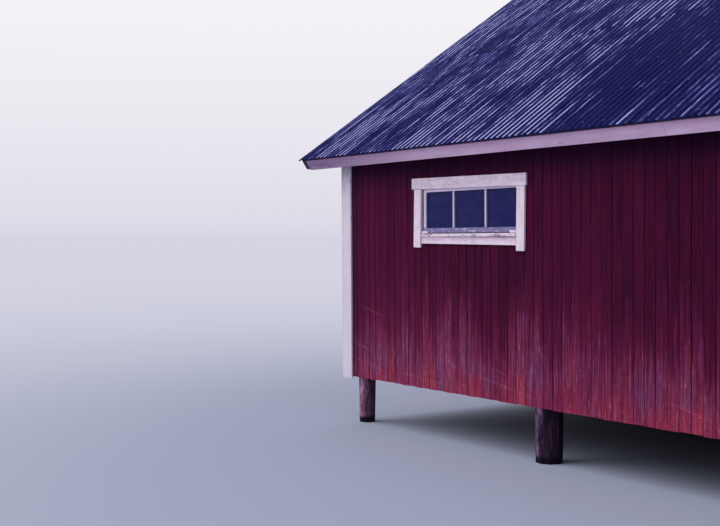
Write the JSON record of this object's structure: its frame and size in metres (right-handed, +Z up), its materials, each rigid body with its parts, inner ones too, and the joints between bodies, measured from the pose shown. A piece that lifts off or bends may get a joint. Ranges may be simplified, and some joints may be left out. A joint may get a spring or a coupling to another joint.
{
  "type": "boathouse",
  "caption": "Boarded timber boathouse on piles, with a corrugated gable roof, low wide windows, double boat doors in one gable and a plank door in the other.",
  "frame": {"origin": "middle of the plan, at the feet of the piles", "axes": "+Z up, +X along the long walls towards the land gable, -Y out of the front wall"},
  "size_m": [9.592, 7.0216, 5.1962],
  "materials": {
    "pile_wood": "rough",
    "frame_timber": "rough sawn",
    "floor_wood": "rough sawn",
    "tarred_wood": "matt",
    "wall_boards": "weathered paint",
    "white_trim": "weathered paint",
    "sash_paint": "weathered paint",
    "window_glass": "gloss",
    "eave_boards": "weathered paint",
    "dark_trim": "matt",
    "roof_boards": "rough sawn",
    "roof_sheets": "worn paint",
    "door_iron": "matt"
  },
  "bodies": {
    "root": {"front_piles": "pile_wood", "middle_piles": "pile_wood", "back_piles": "pile_wood", "pile_girders": "frame_timber", "floor_joists": "frame_timber", "front_wall_frame": "frame_timber", "back_wall_frame": "frame_timber", "lake_gable_frame": "frame_timber", "land_gable_frame": "frame_timber", "rafters": "frame_timber", "ridge_board": "frame_timber", "tie_beams": "frame_timber", "floor_deck": "floor_wood", "middle_bulkhead": "tarred_wood", "front_cladding": "wall_boards", "back_cladding": "wall_boards", "lake_gable_cladding": "wall_boards", "land_gable_cladding": "wall_boards", "boat_door_left": "wall_boards", "boat_door_right": "wall_boards", "land_door": "wall_boards", "long_side_corner_boards": "white_trim", "gable_side_corner_boards": "white_trim", "window_linings": "white_trim", "window_sills": "white_trim", "window_casings": "white_trim", "boat_door_casing": "white_trim", "land_door_casing": "white_trim", "window_sashes": "sash_paint", "window_panes": "window_glass", "front_fascia": "eave_boards", "back_fascia": "eave_boards", "end_rafters": "dark_trim", "lake_barge_boards": "dark_trim", "land_barge_boards": "dark_trim", "front_roof_boards": "roof_boards", "back_roof_boards": "roof_boards", "front_lower_sheets": "roof_sheets", "front_upper_sheets": "roof_sheets", "back_lower_sheets": "roof_sheets", "back_upper_sheets": "roof_sheets", "ridge_cap": "roof_sheets", "boat_door_hinges": "door_iron", "boat_door_pulls": "door_iron", "land_door_hinges": "door_iron", "land_door_pull": "door_iron"}
  },
  "joints": []
}
